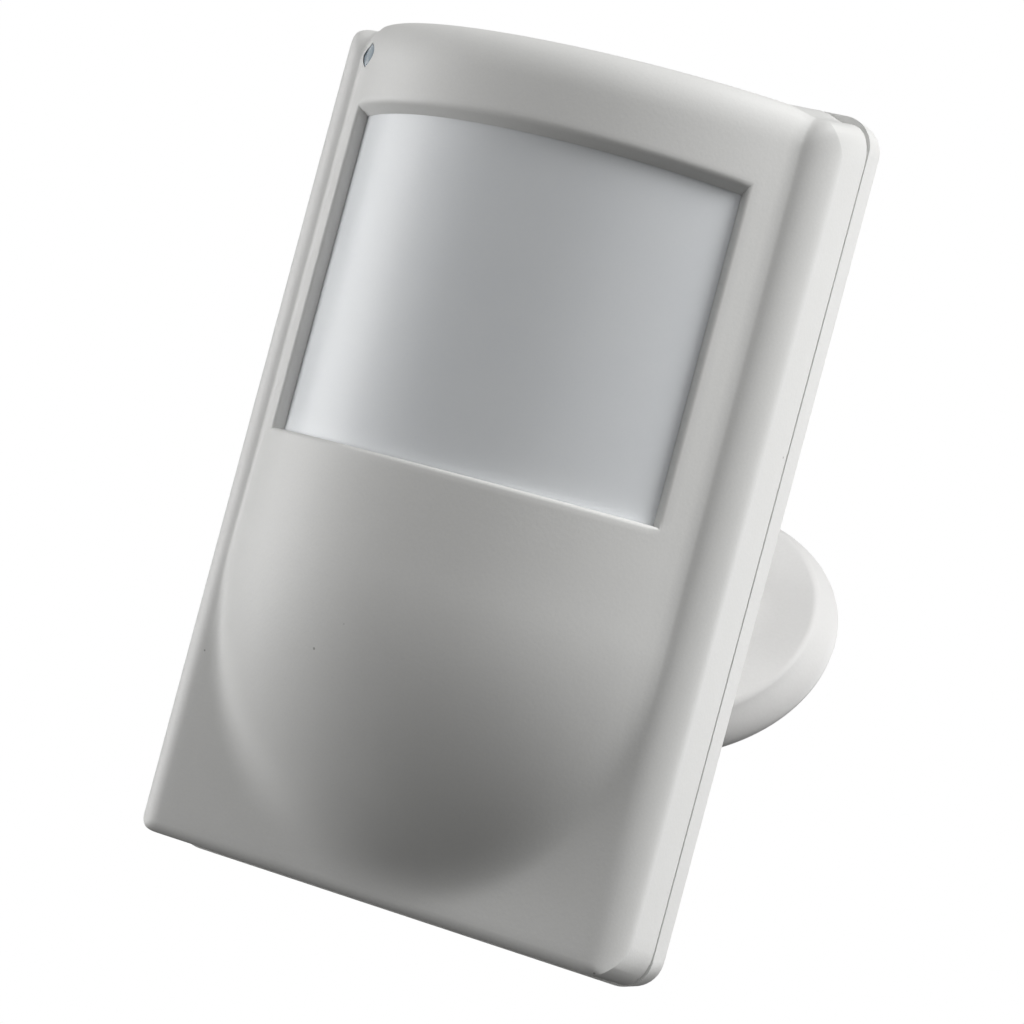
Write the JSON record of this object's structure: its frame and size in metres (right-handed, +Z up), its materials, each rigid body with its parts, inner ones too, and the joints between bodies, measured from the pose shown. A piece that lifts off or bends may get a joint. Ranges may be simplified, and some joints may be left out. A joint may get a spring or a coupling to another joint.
{
  "type": "motion sensor",
  "caption": "Wireless passive infrared motion sensor: slim rounded housing with a curved lens and corner indicator, on a round swivel wall bracket.",
  "frame": {"origin": "centre of the wall plate's back face, midway between its two wall-screw holes", "axes": "+Y into the wall, +Z up, +X to the right for a person facing the wall"},
  "size_m": [0.068, 0.1125, 0.1024],
  "materials": {
    "front_housing": "fine spark-eroded texture, warm off-white",
    "rear_housing": "fine texture, warm off-white",
    "bracket": "fine texture, off-white",
    "lens_film": "translucent cool white, smooth",
    "frame_plastic": "satin off-white",
    "window": "clear, slightly blue",
    "board": "solder mask with tracks",
    "steel": "zinc-plated, satin",
    "nickel": "nickel plate",
    "filter_glass": "dark mirror-like window",
    "cell_sleeve": "printed sleeve without text",
    "black_plastic": "moulded epoxy",
    "cap_sleeve": "shrunk sleeve",
    "smd": "ceramic with tinned ends",
    "aerial": "insulated wire",
    "led_resin": "tinted resin",
    "button_plastic": "satin"
  },
  "bodies": {
    "wall_plate": {"wall_plate": "bracket"},
    "turret": {"swivel_turret": "bracket", "turret_washer": "steel", "turret_screw": "steel", "tilt_bolt": "steel", "tilt_nut": "steel"},
    "arm": {"swivel_arm": "bracket", "head_washer": "steel", "head_screw": "steel"},
    "front_cover": {"front_cover": "front_housing", "fresnel_lens": "lens_film", "lens_frame": "frame_plastic", "led_window": "window"},
    "learn_button": {"learn_button": "button_plastic"},
    "tamper_plunger": {"tamper_plunger": "button_plastic"},
    "detector": {"head_plate": "bracket", "head_plate_screws": "steel", "rear_cover": "rear_housing", "circuit_board": "board", "board_screws": "steel", "sensor_holder": "black_plastic", "sensor_can": "nickel", "sensor_filter": "filter_glass", "sensor_leads": "steel", "battery": "cell_sleeve", "battery_cradle": "black_plastic", "contact_plate": "nickel", "contact_spring": "nickel", "controller_chip": "black_plastic", "amplifier_chip": "black_plastic", "radio_module": "board", "radio_screen": "nickel", "antenna": "aerial", "capacitors": "cap_sleeve", "surface_parts": "smd", "jumper_pins": "black_plastic", "jumper_cap": "black_plastic", "indicator_led": "led_resin", "learn_switch": "black_plastic", "tamper_switch": "black_plastic"}
  },
  "joints": [
    {"name": "turret_turn", "type": "hinge", "parent": "wall_plate", "child": "turret", "pos_m": [0, 0, 0], "axis": [0, 1, 0], "range_deg": [-90, 90]},
    {"name": "arm_tilt", "type": "hinge", "parent": "turret", "child": "arm", "pos_m": [0, -0.016, 0], "axis": [1, 0, 0], "range_deg": [-70, 5]},
    {"name": "head_turn", "type": "hinge", "parent": "arm", "child": "detector", "pos_m": [0, -0.016, 0], "axis": [0, -0.7716, -0.6361], "range_deg": [-90, 90]},
    {"name": "cover_open", "type": "hinge", "parent": "detector", "child": "front_cover", "pos_m": [0, -0.09243, 0.01073], "axis": [-1, 0, 0], "range_deg": [0, 40]},
    {"name": "learn_button_press", "type": "slide", "parent": "detector", "child": "learn_button", "axis": [0, 0.7716, 0.6361], "range_m": [0, 0.0003], "stiffness_N_per_m": 3000, "springref_m": -0.0003},
    {"name": "tamper_plunger_press", "type": "slide", "parent": "detector", "child": "tamper_plunger", "axis": [0, 0.7716, 0.6361], "range_m": [0, 0.001], "stiffness_N_per_m": 400, "springref_m": -0.0008}
  ]
}
